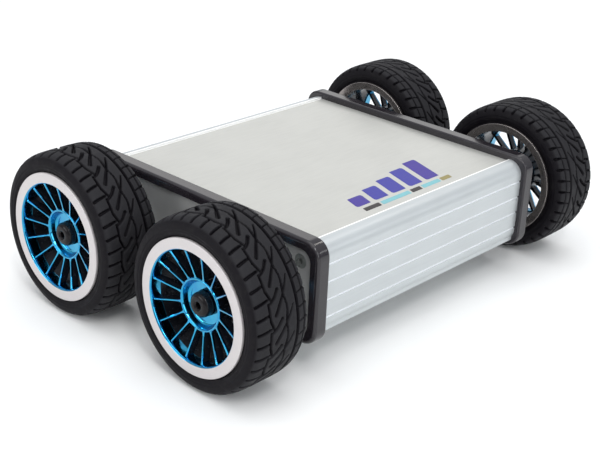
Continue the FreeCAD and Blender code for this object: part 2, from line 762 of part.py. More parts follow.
def make_tyre(corner, forward, side, turn):
    """Hollow tyre: tread, sidewalls and two beads behind the rim's lips."""
    body = new_body("tyre_" + corner)
    wide = size.tyre_width / 2
    bead_out = size.rim_width / 2 - size.lip_thick - size.thread_gap
    bead_in = bead_out - size.seat_width + size.slip
    bead_radius = size.seat_radius + size.thread_gap
    above_lip = size.lip_radius + size.slip
    carcass = size.tyre_radius - size.tread_thick
    side_inside = wide - size.side_thick
    one_side = [(bead_radius, bead_out), (above_lip, bead_out),
                (above_lip + size.slip, (bead_out + wide) / 2)]
    one_side += [(size.tyre_radius - below, wide - inwards) for below, inwards in TYRE_SHOULDER]
    inside = [
        (carcass, side_inside - size.side_thick), (carcass - size.side_thick, side_inside),
        (size.barrel_radius + size.side_thick, side_inside), (bead_radius, bead_in),
    ]
    other_side = [(radius, -outwards) for radius, outwards in reversed(one_side)]
    other_inside = [(radius, -outwards) for radius, outwards in reversed(inside)]
    profile = new_sketch(body, "XY_Plane", "tyre_section_" + corner)
    outline(profile, section(one_side + [(size.tyre_radius, 0)] + other_side
                             + other_inside + [(carcass, 0)] + inside))
    revolve(body, profile)
    stand_wheel(body, forward, side, turn)


def make_foam(corner, forward, side, turn):
    body = new_body("foam_insert_" + corner)
    wide = size.tyre_width / 2 - size.side_thick * 2
    inner = size.barrel_radius + size.slip
    outer = size.tyre_radius - size.tread_thick - size.foam_gap
    bevel = size.side_thick / 2
    ring = new_sketch(body, "XY_Plane", "foam_section_" + corner)
    outline(ring, section([
        (inner, wide - bevel), (inner + bevel, wide), (outer - bevel, wide), (outer, wide - bevel),
        (outer, bevel - wide), (outer - bevel, -wide), (inner + bevel, -wide),
        (inner, bevel - wide),
    ]))
    revolve(body, ring)
    stand_wheel(body, forward, side, turn)


def make_wheel_screw(corner, forward, side, turn):
    """Button head with a socket, and the thread that pulls the rim on to the adapter."""
    body = new_body("wheel_screw_" + corner)
    head = new_sketch(body, "XY_Plane", "screw_section_" + corner)
    top = size.hub_floor + size.screw_head_height
    tip = size.hub_floor - size.screw_reach
    outline(head, section([
        (0, tip), (size.shaft_radius, tip), (size.shaft_radius, size.hub_floor),
        (size.screw_head, size.hub_floor), (size.screw_head, top - size.screw_chamfer),
        (size.screw_head - size.screw_chamfer, top), (0, top),
    ]))
    revolve(body, head)
    doc.recompute()
    key = new_sketch(body, "XZ_Plane", "key_" + corner, top)
    hexagon(key, size.screw_key)
    pocket(body, key, size.screw_key_depth)
    stand_wheel(body, forward, side, turn)


# ---------------------------------------------------------------- inside the box

floor = size.box_middle - size.box_height / 2 + size.wall
board_under = floor + size.post_height


def block(name, length, width, height, x, y, z):
    """Rectangular solid, given by its sizes and the middle of its underside."""
    solid = doc.addObject("Part::Box", name)
    bind(solid, Length=length, Width=width, Height=height)
    return move(solid, x=Size.of(x) - Size.of(length) / 2, y=Size.of(y) - Size.of(width) / 2, z=z)


def make_battery():
    keep(block("foam_strip", size.pad_width, size.battery_length - size.pad_short,
               size.pad_thick, 0, size.battery_shift, floor), "battery_pad")
    body = new_body("battery_pack")
    cells = new_sketch(body, "XZ_Plane", "cells")
    rounded_box(cells, size.battery_width / 2, size.battery_height / 2,
                size.battery_height / 2 - size.slip)
    pad(body, cells, size.battery_length, both_ways=True)
    move(body, y=size.battery_shift, z=floor + size.pad_thick + size.battery_height / 2)


def make_controller():
    post_x = size.board_width / 2 - size.board_margin
    post_y = size.board_length / 2 - size.board_margin
    body = new_body("controller_board")
    plate = new_sketch(body, "XY_Plane", "board_outline")
    rounded_box(plate, size.board_width / 2, size.board_length / 2, size.board_corner)
    pad(body, plate, size.board_thick)
    holes = new_sketch(body, "XY_Plane", "board_holes", size.board_thick)
    spots = [(post_x * right, post_y * left) for right in (1, -1) for left in (1, -1)]
    for across, along in spots:
        circle(holes, across, along, size.peg_radius + size.slip)
    pocket(body, holes, size.board_thick)
    move(body, y=size.board_shift, z=board_under)

    posts = []
    for index, (across, along) in enumerate(spots):
        name = "post_{}".format(index)
        foot = doc.addObject("Part::Cylinder", name + "_foot")
        bind(foot, Radius=size.post_radius + size.foot_spread, Height=size.foot_thick)
        stem = doc.addObject("Part::Cylinder", name + "_stem")
        bind(stem, Radius=size.post_radius, Height=size.post_height)
        peg = doc.addObject("Part::Cylinder", name + "_peg")
        bind(peg, Radius=size.peg_radius,
             Height=size.post_height + size.board_thick + size.peg_rise)
        posts.append(move(fused(name, foot, stem, peg), x=across,
                          y=size.board_shift + along, z=floor))
    group("board_standoffs", posts)

    board_top = board_under + size.board_thick
    chips = [block("chip_{}".format(index), size.chip_length, size.chip_width, size.chip_height,
                   size.chip_spread * right, size.board_shift - size.chip_back, board_top)
             for index, right in enumerate((-1, 1))]
    group("driver_chips", chips)
    clamps = [block("clamp_{}".format(index), size.clamp_pitch - size.slip * 2, size.clamp_depth,
                    size.clamp_height, size.clamp_pitch * step,
                    size.board_shift + size.clamp_ahead, board_top)
              for index, step in enumerate((-1.5, -0.5, 0.5, 1.5))]
    group("screw_terminals", clamps)


# ---------------------------------------------------------------- build, check, write


def main():
    make_extrusion()
    make_cover()
    for side in SIDES:
        make_bezel(side)
        make_end_panel(side)
        make_panel_screws(side)
    for corner, forward, side, turn in CORNERS:
        make_gearmotor(corner, forward, side)
        make_motor_screws(corner, forward, side)
        for make in (make_output_shaft, make_hex_adapter, make_set_screw, make_rim, make_tyre,
                     make_foam, make_wheel_screw):
            make(corner, forward, side, turn)
    make_terminals()
    make_battery()
    make_controller()
    doc.recompute()

    for thing in doc.Objects:
        if "Invalid" in thing.State or "Error" in thing.State:
            raise RuntimeError("{} failed: {}".format(thing.Name, thing.State))
    for thing in parts:
        if thing.Shape.isNull() or not thing.Shape.isValid() or not thing.Shape.Solids:
            raise RuntimeError("{} has no valid solid".format(thing.Label))
    os.makedirs("parts", exist_ok=True)
    for thing in parts:
        thing.Shape.exportStep(os.path.join("parts", thing.Label + ".step"))
        print("{:28s} {:2d} solids {:10.1f} mm3".format(
            thing.Label, len(thing.Shape.Solids), thing.Shape.Volume))
    print(len(parts), "nodes")


main()
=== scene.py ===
import json
import math

import bpy
import numpy as np
from mathutils import Matrix, Vector


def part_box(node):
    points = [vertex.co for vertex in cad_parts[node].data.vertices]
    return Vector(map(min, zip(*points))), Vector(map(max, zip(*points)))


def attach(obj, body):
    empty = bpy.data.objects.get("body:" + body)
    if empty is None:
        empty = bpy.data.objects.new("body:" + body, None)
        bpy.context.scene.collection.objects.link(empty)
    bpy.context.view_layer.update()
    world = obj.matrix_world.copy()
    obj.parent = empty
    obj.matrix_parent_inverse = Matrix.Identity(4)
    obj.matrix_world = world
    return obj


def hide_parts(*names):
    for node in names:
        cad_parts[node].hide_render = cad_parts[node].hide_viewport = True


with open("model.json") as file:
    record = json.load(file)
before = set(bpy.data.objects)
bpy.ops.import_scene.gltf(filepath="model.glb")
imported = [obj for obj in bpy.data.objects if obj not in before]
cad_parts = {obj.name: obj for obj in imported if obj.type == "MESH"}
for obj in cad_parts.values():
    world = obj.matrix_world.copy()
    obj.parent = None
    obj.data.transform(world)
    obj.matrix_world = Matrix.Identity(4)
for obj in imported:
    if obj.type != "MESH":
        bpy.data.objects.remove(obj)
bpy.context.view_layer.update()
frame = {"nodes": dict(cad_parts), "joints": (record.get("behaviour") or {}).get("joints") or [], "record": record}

MM = 0.001
TAU = 2 * math.pi

# ---------------------------------------------------------------- named places and sizes

CORNERS = ("front_right", "rear_right", "front_left", "rear_left")
# How far each wheel is turned on its axle at rest, in degrees.
WHEEL_TURN = {"front_right": 12.4, "rear_right": -2.0, "front_left": 5.0, "rear_left": 9.0}
SPOKES = 16

AXLES = {joint["child"].replace("wheel_", ""): Vector(joint["pos_m"]) for joint in frame["joints"]}
COVER_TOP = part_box("top_cover")[1].z
COVER_SIDE = 53.3 * MM                                   # visible half width of the cover
BOX_LOW, BOX_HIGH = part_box("body_extrusion")
BOX_SIDE = BOX_HIGH.x
BOX_MIDDLE = (BOX_LOW.z + BOX_HIGH.z) / 2
BOX_HALF = (BOX_HIGH.z - BOX_LOW.z) / 2
FLAT_HALF = BOX_HALF - 5.0 * MM                          # half the height that the grooves share
TYRE_RADIUS = (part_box("tyre_front_right")[1].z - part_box("tyre_front_right")[0].z) / 2 / MM


# ---------------------------------------------------------------- material building


# Sockets of a node that mixes two colours.
MIX_SHARE, MIX_FIRST, MIX_SECOND = 0, 6, 7
MIX_RESULT = 2


class Surface:
    """A Principled material that is built one node at a time."""

    def __init__(self, name, color, roughness, metallic=0.0, **sockets):
        self.material = bpy.data.materials.new(name)
        self.material.use_nodes = True
        self.tree = self.material.node_tree
        self.shader = self.tree.nodes["Principled BSDF"]
        self.shader.inputs["Base Color"].default_value = (*color, 1)
        self.shader.inputs["Roughness"].default_value = roughness
        self.shader.inputs["Metallic"].default_value = metallic
        for socket, value in sockets.items():
            self.shader.inputs[socket.replace("_", " ")].default_value = value
        self.color = color
        self.place = self.node("ShaderNodeTexCoord").outputs["Object"]

    def node(self, kind, **values):
        made = self.tree.nodes.new(kind)
        for name, value in values.items():
            setattr(made, name, value)
        return made

    def link(self, source, target):
        self.tree.links.new(source, target)

    def stretched(self, stretch):
        """The object's own coordinates, stretched along its axes."""
        mapping = self.node("ShaderNodeMapping")
        mapping.inputs["Scale"].default_value = stretch
        self.link(self.place, mapping.inputs["Vector"])
        return mapping.outputs["Vector"]

    def noise(self, size_mm, stretch=(1, 1, 1), detail=3.0, sharpness=0.55):
        """Noise whose features are about size_mm across."""
        texture = self.node("ShaderNodeTexNoise")
        texture.inputs["Scale"].default_value = 1 / (size_mm * MM)
        texture.inputs["Detail"].default_value = detail
        texture.inputs["Roughness"].default_value = sharpness
        self.link(self.stretched(stretch), texture.inputs["Vector"])
        return texture.outputs["Fac"]

    def turning_marks(self, pitch_mm):
        """Rings about the Y axis, as a lathe leaves them."""
        parts = self.node("ShaderNodeSeparateXYZ")
        self.link(self.place, parts.inputs[0])
        flat = self.node("ShaderNodeCombineXYZ")
        self.link(parts.outputs["X"], flat.inputs["X"])
        self.link(parts.outputs["Z"], flat.inputs["Z"])
        length = self.node("ShaderNodeVectorMath", operation="LENGTH")
        self.link(flat.outputs[0], length.inputs[0])
        along = self.node("ShaderNodeCombineXYZ")
        self.link(length.outputs["Value"], along.inputs["X"])
        texture = self.node("ShaderNodeTexNoise")
        texture.inputs["Scale"].default_value = 1 / (pitch_mm * MM)
        texture.inputs["Detail"].default_value = 2.0
        self.link(along.outputs[0], texture.inputs["Vector"])
        return texture.outputs["Fac"]

    def spread(self, factor, low, high, to_low, to_high):
        ramp = self.node("ShaderNodeMapRange")
        for name, value in (("From Min", low), ("From Max", high),
                            ("To Min", to_low), ("To Max", to_high)):
            ramp.inputs[name].default_value = value
        self.link(factor, ramp.inputs["Value"])
        return ramp.outputs["Result"]

    def vary_color(self, factor, low, high, other, share=1.0):
        """Blends the base colour towards another one where the factor is high."""
        mix = self.node("ShaderNodeMix", data_type="RGBA")
        current = self.shader.inputs["Base Color"]
        if current.links:
            self.link(current.links[0].from_socket, mix.inputs[MIX_FIRST])
        else:
            mix.inputs[MIX_FIRST].default_value = (*self.color, 1)
        mix.inputs[MIX_SECOND].default_value = (*other, 1)
        self.link(self.spread(factor, low, high, 0.0, share), mix.inputs[MIX_SHARE])
        self.link(mix.outputs[MIX_RESULT], current)

    def vary_roughness(self, factor, rough_low, rough_high):
        self.link(self.spread(factor, 0.35, 0.65, rough_low, rough_high),
                  self.shader.inputs["Roughness"])

    def bump(self, factor, height_mm, strength):
        """Adds a bump whose full height is height_mm."""
        made = self.node("ShaderNodeBump")
        made.inputs["Strength"].default_value = strength
        made.inputs["Distance"].default_value = height_mm * MM
        self.link(factor, made.inputs["Height"])
        normal = self.shader.inputs["Normal"]
        if normal.links:
            self.link(normal.links[0].from_socket, made.inputs["Normal"])
        self.link(made.outputs["Normal"], normal)

    def attribute(self, name):
        return self.node("ShaderNodeAttribute", attribute_name=name).outputs["Fac"]

    def off_middle(self, axis, middle=0.0):
        """How far each point is from a middle plane across that axis, in metres."""
        parts = self.node("ShaderNodeSeparateXYZ")
        self.link(self.place, parts.inputs[0])
        shifted = self.node("ShaderNodeMath", operation="SUBTRACT")
        self.link(parts.outputs[axis], shifted.inputs[0])
        shifted.inputs[1].default_value = middle
        size = self.node("ShaderNodeMath", operation="ABSOLUTE")
        self.link(shifted.outputs[0], size.inputs[0])
        return size.outputs[0]

    def product(self, *factors):
        """The product of several factors."""
        whole = factors[0]
        for factor in factors[1:]:
            made = self.node("ShaderNodeMath", operation="MULTIPLY")
            self.link(whole, made.inputs[0])
            self.link(factor, made.inputs[1])
            whole = made.outputs[0]
        return whole


def anodised(name, color, grain, shine):
    """Clear anodised aluminium: satin, with faint marks along the way it was drawn, and highlights painted on by
    the last argument.
    """
    surface = Surface(name, color, 0.4, metallic=0.55)
    drawn = surface.noise(0.5, grain, detail=4.0)
    cloud = surface.noise(18, detail=2.0)
    surface.vary_color(drawn, 0.3, 0.7, tuple(0.965 * part for part in color))
    surface.vary_color(cloud, 0.4, 0.75, tuple(1.04 * part for part in color), 0.6)
    surface.vary_roughness(drawn, 0.40, 0.46)
    surface.bump(drawn, 0.003, 0.5)
    surface.bump(surface.noise(0.12, detail=2.0), 0.004, 0.6)
    # paints highlights into the base colour
    shine(surface)
    return surface.material


# Where the masks of the painted highlights start and end, in metres.
GROOVE_BOTTOM = (BOX_SIDE - 0.32 * MM, BOX_SIDE - 0.04 * MM)     # from the middle plane
GROOVE_DEEPEST = (BOX_SIDE - 0.6 * MM, BOX_SIDE - 0.5 * MM)
GROOVE_ENDS = (FLAT_HALF - 0.3 * MM, FLAT_HALF)                  # from the middle height
RAIL_EDGE = (COVER_SIDE + 0.75 * MM, COVER_SIDE + 0.9 * MM)
RAIL_START = (COVER_SIDE, COVER_SIDE + 0.05 * MM)
RAIL_TOP = (BOX_HALF - 0.9 * MM, BOX_HALF - 0.8 * MM)
COVER_EDGE = (COVER_SIDE - 0.75 * MM, COVER_SIDE - 0.55 * MM)


def painted_groove_and_rail_highlights(surface):
    """Paints highlights into the bottoms of the fine grooves along the box's long sides, and onto its rails'
    edges.

    The grooves lie just inside its side faces, which are equally far either side of X = 0."""
    aside = surface.off_middle("X")
    height = surface.off_middle("Z", BOX_MIDDLE)
    groove = surface.product(surface.spread(aside, *GROOVE_BOTTOM, 1.0, 0.0),
                             surface.spread(aside, *GROOVE_DEEPEST, 0.0, 1.0),
                             surface.spread(height, *GROOVE_ENDS, 1.0, 0.0))
    # painted highlight: the groove bottoms are lightened to near white
    surface.vary_color(groove, 0.0, 1.0, (0.93, 0.95, 0.97))
    painted_rail_highlight = surface.product(surface.spread(aside, *RAIL_EDGE, 1.0, 0.0),
                           surface.spread(aside, *RAIL_START, 0.0, 1.0),
                           surface.spread(height, *RAIL_TOP, 0.0, 1.0))
    # painted highlight: a near-white line along each rail's edge beside the cover
    surface.vary_color(painted_rail_highlight, 0.0, 1.0, (0.97, 0.97, 0.96))


def painted_cover_edge_highlight(surface):
    """Paints a highlight along the edges of the cover, where it meets the rails."""
    painted_edge_mask = surface.spread(surface.off_middle("X"), *COVER_EDGE, 0.0, 1.0)
    # painted highlight: the cover's edges are lightened to near white
    surface.vary_color(painted_edge_mask, 0.0, 1.0, (0.95, 0.95, 0.93))


def moulded(name, color, roughness, grain_mm=0.35, height=0.012, other=None):
    """Moulded plastic with a fine spark-eroded grain and slight handling marks."""
    surface = Surface(name, color, roughness)
    grain = surface.noise(grain_mm, detail=3.0)
    marks = surface.noise(7, (1, 1, 2), detail=5.0, sharpness=0.6)
    lighter = other or tuple(min(1, 1.5 * part + 0.006) for part in color)
    surface.vary_color(marks, 0.45, 0.8, lighter, 0.7)
    surface.vary_roughness(marks, roughness * 0.85, min(1, roughness * 1.25))
    surface.bump(grain, height, 0.6)
    return surface.material


def panel_grey():
    """Grey end panel with a fine grain and slight handling marks."""
    surface = Surface("panel_grey", (0.27, 0.27, 0.265), 0.36)
    marks = surface.noise(7, detail=5.0, sharpness=0.6)
    surface.vary_color(marks, 0.45, 0.8, (0.31, 0.31, 0.305), 0.7)
    surface.vary_roughness(marks, 0.3, 0.45)
    surface.bump(surface.noise(0.4), 0.006, 0.6)
    return surface.material


def plain_metal(name, color, roughness, metallic=1.0, **sockets):
    """Turned or plated metal with faint rings and uneven polish."""
    surface = Surface(name, color, roughness, metallic=metallic, **sockets)
    rings = surface.turning_marks(0.25)
    wear = surface.noise(3, detail=4.0)
    surface.vary_color(wear, 0.4, 0.7, tuple(0.8 * part for part in color), 0.6)
    surface.vary_roughness(wear, roughness * 0.8, min(1, roughness * 1.3))
    surface.bump(rings, 0.006, 0.5)
    return surface.material


def tyre_rubber():
    """Soft black rubber: dusty tread tops, darker grooves and a smooth sidewall."""
    surface = Surface("tyre_rubber", (0.0045, 0.0036, 0.0055), 0.6, Specular_IOR_Level=0.13)
    tread = surface.attribute("tread")
    dust = surface.noise(3.5, detail=6.0, sharpness=0.62)
    speckle = surface.noise(0.35, detail=3.0)
    surface.vary_color(tread, 0.35, 1.0, (0.0175, 0.0170, 0.0195))
    surface.vary_color(dust, 0.5, 0.8, (0.034, 0.033, 0.032), 0.3)
    surface.vary_roughness(dust, 0.5, 0.72)
    surface.bump(speckle, 0.05, 0.5)
    surface.bump(surface.noise(1.4, detail=2.0), 0.05, 0.35)
    return surface.material


def blue_chrome():
    """Blue plated plastic: a mirror finish with the slight ripple of the moulding."""
    surface = Surface("blue_chrome", (0.012, 0.34, 0.56), 0.1, metallic=1.0, Coat_Weight=0.7,
                      Coat_Roughness=0.03)
    ripple = surface.noise(4, detail=1.0)
    smear = surface.noise(1.2, detail=4.0)
    surface.vary_color(ripple, 0.35, 0.75, (0.006, 0.22, 0.50), 0.7)
    surface.vary_roughness(smear, 0.06, 0.16)
    surface.bump(ripple, 0.05, 0.4)
    return surface.material


def dark_chrome():
    """Thin plating over black plastic, where little of it reached: inside and behind the spokes."""
    surface = Surface("dark_chrome", (0.012, 0.014, 0.020), 0.2, metallic=0.4,
                      Specular_IOR_Level=0.35)
    smear = surface.noise(2.0, detail=3.0)
    surface.vary_color(smear, 0.4, 0.7, (0.020, 0.024, 0.034), 0.6)
    surface.vary_roughness(smear, 0.12, 0.28)
    surface.bump(surface.noise(4, detail=1.0), 0.05, 0.4)
    return surface.material


def smoke_chrome():
    """The smoky plating on the back lip of the rims."""
    surface = Surface("smoke_chrome", (0.30, 0.275, 0.265), 0.2, metallic=0.85)
    ripple = surface.noise(4, detail=1.0)
    smear = surface.noise(2.0, detail=3.0)
    surface.vary_color(smear, 0.4, 0.7, (0.25, 0.22, 0.215), 0.6)
    surface.vary_roughness(smear, 0.14, 0.28)
    surface.bump(ripple, 0.05, 0.4)
    return surface.material


def silver_lip():
    """The machined flat face of the rim's lip."""
    surface = Surface("silver_lip", (0.60, 0.565, 0.56), 0.42, metallic=0.35)
    rings = surface.turning_marks(0.12)
    surface.vary_color(rings, 0.4, 0.6, (0.56, 0.53, 0.53))
    surface.vary_roughness(surface.noise(2.5, detail=4.0), 0.36, 0.5)
    surface.bump(rings, 0.01, 0.5)
    return surface.material


def foam():
    surface = Surface("foam", (0.16, 0.16, 0.17), 0.95)
    cells = surface.node("ShaderNodeTexVoronoi")
    cells.inputs["Scale"].default_value = 1 / (0.8 * MM)
    surface.link(surface.place, cells.inputs["Vector"])
    surface.vary_color(cells.outputs["Distance"], 0.1, 0.6, (0.26, 0.26, 0.27))
    surface.bump(cells.outputs["Distance"], 0.25, 0.8)
    return surface.material


def solder_mask():
    """Green board with copper tracks showing faintly through the mask."""
    surface = Surface("solder_mask", (0.012, 0.12, 0.05), 0.35)
    tracks = surface.node("ShaderNodeTexBrick")
    tracks.inputs["Scale"].default_value = 1 / (6 * MM)
    tracks.inputs["Mortar Size"].default_value = 0.06
    surface.link(surface.place, tracks.inputs["Vector"])
    surface.vary_color(tracks.outputs["Fac"], 0.2, 0.8, (0.03, 0.22, 0.08))
    surface.bump(tracks.outputs["Fac"], 0.03, 0.5)
    return surface.material


def printed(name, color):
    """Ink on the cover, with the aluminium's grain just showing in it."""
    surface = Surface(name, color, 0.38, Specular_IOR_Level=0.2)
    grain = surface.noise(0.4, (1, 0.1, 1), detail=3.0)
    surface.vary_color(grain, 0.35, 0.75, tuple(min(1, 1.25 * part + 0.02) for part in color), 0.7)
    surface.vary_roughness(grain, 0.34, 0.46)
    return surface.material


MATERIALS = {
    # The box and the cover get painted highlights on their grooves, rails and edges.
    "anodised_box": anodised("anodised_box", (0.548, 0.577, 0.587), (1, 0.03, 1), painted_groove_and_rail_highlights),
    "anodised_cover": anodised("anodised_cover", (0.545, 0.545, 0.515), (0.6, 0.05, 1), painted_cover_edge_highlight),
    "bezel_black": moulded("bezel_black", (0.017, 0.0145, 0.018), 0.13, 2.0, 0.002,
                           (0.023, 0.020, 0.024)),
    "panel_grey": panel_grey(),
    "screw_black": plain_metal("screw_black", (0.008, 0.007, 0.008), 0.2, 0.1,
                               Specular_IOR_Level=0.22),
    "screw_steel": plain_metal("screw_steel", (0.42, 0.42, 0.43), 0.3),
    "tyre_rubber": tyre_rubber(),
    "rim_blue": blue_chrome(),
    "foam": foam(),
    "adapter_metal": plain_metal("adapter_metal", (0.50, 0.51, 0.53), 0.34),
    "shaft_steel": plain_metal("shaft_steel", (0.48, 0.48, 0.49), 0.22),
    "gearbox_steel": plain_metal("gearbox_steel", (0.50, 0.48, 0.42), 0.3),
    "motor_steel": plain_metal("motor_steel", (0.45, 0.45, 0.46), 0.35),
    "cap_black": moulded("cap_black", (0.02, 0.02, 0.02), 0.5),
    "terminal_brass": plain_metal("terminal_brass", (0.66, 0.48, 0.2), 0.3),
    "battery_wrap": moulded("battery_wrap", (0.012, 0.10, 0.42), 0.25, 2.0, 0.05),
    "board_green": solder_mask(),
    "nylon": moulded("nylon", (0.62, 0.62, 0.57), 0.5),
    "chip_black": moulded("chip_black", (0.015, 0.015, 0.016), 0.55),
    "terminal_green": moulded("terminal_green", (0.02, 0.22, 0.06), 0.4),
}
GUNMETAL = plain_metal("gunmetal", (0.17, 0.18, 0.17), 0.3, 0.3)


# ---------------------------------------------------------------- mesh building


def finish_mesh(name, points, faces, materials, sharp_degrees=32):
    """An object from points in millimetres, smooth except across sharp edges."""
    mesh = bpy.data.meshes.new(name)
    mesh.from_pydata((np.asarray(points, float) * MM).tolist(), [], faces)
    mesh.update()
    for material in materials:
        mesh.materials.append(material)
    mesh.shade_smooth()
    mesh.set_sharp_from_angle(angle=math.radians(sharp_degrees))
    thing = bpy.data.objects.new(name, mesh)
    bpy.context.scene.collection.objects.link(thing)
    return thing


def smooth_path(knots, steps):
    """Catmull-Rom curve through the knots, with its end tangents along the end chords."""
    knots = np.asarray(knots, float)
    padded = np.vstack([2 * knots[0] - knots[1], knots, 2 * knots[-1] - knots[-2]])
    path = []
    for index in range(len(knots) - 1):
        before, start, end, after = padded[index:index + 4]
        for step in range(steps):
            t = step / steps
            path.append(0.5 * (2 * start + (end - before) * t
                               + (2 * before - 5 * start + 4 * end - after) * t ** 2
                               + (3 * start - before - 3 * end + after) * t ** 3))
    path.append(knots[-1])
    return np.array(path)


def softened(corners, radius, steps=3):
    """Closed outline with each corner rounded by about the radius.

    A corner is (radius from the axle, distance outwards) and may have a third value, a radius
    of its own."""
    path = []
    count = len(corners)
    for index, corner in enumerate(corners):
        here = np.array(corner[:2], float)
        reach = corner[2] if len(corner) > 2 else radius
        before = np.array(corners[index - 1][:2], float) - here
        after = np.array(corners[(index + 1) % count][:2], float) - here
        room = min(np.linalg.norm(before), np.linalg.norm(after)) * 0.45
        reach = min(reach, room)
        if reach < 0.02:
            path.append(here)
            continue
        start = here + before / np.linalg.norm(before) * reach
        end = here + after / np.linalg.norm(after) * reach
        for step in range(steps + 1):
            t = step / steps
            path.append((1 - t) ** 2 * start + 2 * t * (1 - t) * here + t ** 2 * end)
    return np.array(path)


def hex_reach(angles):
    """How much further a hexagon's wall is from its axis than its flats are, at each angle."""
    return 1 / np.cos((angles % (TAU / 6)) - TAU / 12)


def lathe(profile, segments, hexagonal=None):
    """Points and faces of a closed profile turned about the Y axis.

    The profile's points are (radius, distance outwards), and outwards is -Y. The flags in
    hexagonal mark points whose radius is the half width of a hexagon."""
    profile = np.asarray(profile, float)
    angles = np.arange(segments) * TAU / segments
    rows = []
    for index, (radius, outwards) in enumerate(profile):
        reach = radius * hex_reach(angles) if hexagonal is not None and hexagonal[index] else radius
        rows.append(np.column_stack([reach * np.cos(angles), np.full(segments, -outwards),
                                     reach * np.sin(angles)]))
    points = np.vstack(rows)
    faces = []
    count = len(profile)
    for row in range(count):
        following = (row + 1) % count
        for index in range(segments):
            beside = (index + 1) % segments
            faces.append((row * segments + index, row * segments + beside,
                          following * segments + beside, following * segments + index))
    return points, faces


def merged(pieces):
    """Several (points, faces) joined in one list of points and one of faces."""
    points, faces, start = [], [], 0
    for some_points, some_faces in pieces:
        points.append(np.asarray(some_points, float))
        faces += [tuple(index + start for index in face) for face in some_faces]
        start += len(some_points)
    return np.vstack(points), faces


def turned(points, angle):
    """Points turned about the Y axis, from +X towards +Z."""
    cosine, sine = math.cos(angle), math.sin(angle)
    x, y, z = np.asarray(points, float).T
    return np.column_stack([x * cosine - z * sine, y, x * sine + z * cosine])


def outward_normals(thing):
    """Makes the mesh's faces look outwards."""
    bpy.ops.object.select_all(action="DESELECT")
    bpy.context.view_layer.objects.active = thing
    thing.select_set(True)
    bpy.ops.object.mode_set(mode="EDIT")
    bpy.ops.mesh.select_all(action="SELECT")
    bpy.ops.mesh.normals_make_consistent(inside=False)
    bpy.ops.object.mode_set(mode="OBJECT")
    thing.select_set(False)


def stand_in_wheels(models, name, node):
    """Puts a copy of a piece in each wheel, in place of that wheel's CAD node.

    The models, one for each side, were built about the middle of a wheel, with outwards at -Y."""
    for corner in CORNERS:
        side = corner.split("_")[1]
        mesh = models[side].data.copy()
        mesh.transform(Matrix.Rotation(-math.radians(WHEEL_TURN[corner]), 4, "Y"))
        thing = bpy.data.objects.new(name + corner, mesh)
        bpy.context.scene.collection.objects.link(thing)
        facing = Matrix.Rotation(math.pi if side == "left" else 0, 4, "Z")
        thing.matrix_world = Matrix.Translation(AXLES[corner]) @ facing
        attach(thing, "wheel_" + corner)
        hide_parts(node + corner)
    for model in set(models.values()):
        bpy.data.objects.remove(model)


# ---------------------------------------------------------------- tyres

TREAD_PITCHES = 20          # repeats of the pattern round the tyre
TREAD_PITCH = TAU * TYRE_RADIUS / TREAD_PITCHES
TREAD_DEPTH = 1.5
TYRE_TURNS = 1040           # points round the tyre
TYRE_ACROSS = 156           # points across the tread and sidewalls
WEAR_ENDS = (13.3, 11.3)    # where the dusty look of the tread fades out, from the crown
RIB_DEPTH = 0.14
RIBS = [(15.6, 0.5), (17.0, 0.4)]       # lines on the sidewall: distance from the crown, width
CARCASS_TOP = 30.3          # inside radius of the tyre under its crown

# Half of the tyre's section, from the crown to the bead: distance outwards, radius.
TYRE_HALF = [(0, 32.5), (5, 32.5), (8.8, 32.3), (11.0, 31.7), (12.3, 30.4), (12.85, 28.4),
             (12.7, 27.0), (12.35, 26.1), (11.8, 25.55)]
BEAD = [(11.7, 23.0), (9.0, 23.0), (9.2, 24.8), (10.4, 26.2), (10.4, 28.4), (8.5, 30.0)]

# One repeat of the tread, as strokes of (distance outwards, distance round, width). A stroke is
# cut as a groove along its points. They are in millimetres along the surface.
LONG_DROP = [(3.6, 0.0, 1.35), (2.0, 2.2, 1.25), (0.6, 4.1, 1.0), (-0.7, 5.8, 0.85),
             (-2.6, 8.6, 0.65), (-4.4, 11.8, 0.35)]
SHORT_DROP = [(5.9, 4.3, 0.75), (4.6, 4.9, 0.95), (2.9, 6.2, 1.1), (1.1, 8.2, 1.2)]
ROW_STEP = [(6.3, 4.4, 0.9), (6.3, -1.2, 0.9)]
ROW_SLANT = [(6.3, -1.2, 0.9), (5.8, -2.6, 0.85), (4.7, -5.2, 0.7)]
OUTER_CUTS = [(6.3, 0.9, 0.75), (8.6, 0.45, 0.95), (11.4, -0.1, 1.05)]
INNER_CUTS = [(-9.6, 0.0, 0.6), (-11.0, 0.25, 1.0), (-12.9, 0.5, 1.2)]
INNER_SIPES = [(-6.3, -0.9, 0.4), (-7.8, -0.4, 0.4), (-9.6, 0.0, 0.4)]


def fade(value, start, end):
    """0 before start, 1 after end, smooth between. It falls when end is before start."""
    t = np.clip((value - start) / (end - start), 0, 1)
    return t * t * (3 - 2 * t)


def wrapped(distance, pitch):
    return (distance + pitch / 2) % pitch - pitch / 2


def notch(distance, width, soft=0.34):
    """1 in a groove of that width, 0 outside it, with sloping walls."""
    return fade(np.abs(distance), width / 2 + soft / 2, width / 2 - soft / 2)


def stroke(across, around, knots, pitch):
    """1 along the line through the knots, 0 away from it, and again after each pitch."""
    cut = 0.0
    for first, second in zip(knots, knots[1:]):
        run = np.array(second[:2]) - np.array(first[:2])
        middle = (first[1] + second[1]) / 2
        aside = across - first[0]
        along = wrapped(around - middle, pitch) + middle - first[1]
        share = np.clip((aside * run[0] + along * run[1]) / (run @ run), 0, 1)
        distance = np.hypot(aside - share * run[0], along - share * run[1])
        width = first[2] + share * (second[2] - first[2])
        cut = np.maximum(cut, notch(distance, width))
    return cut


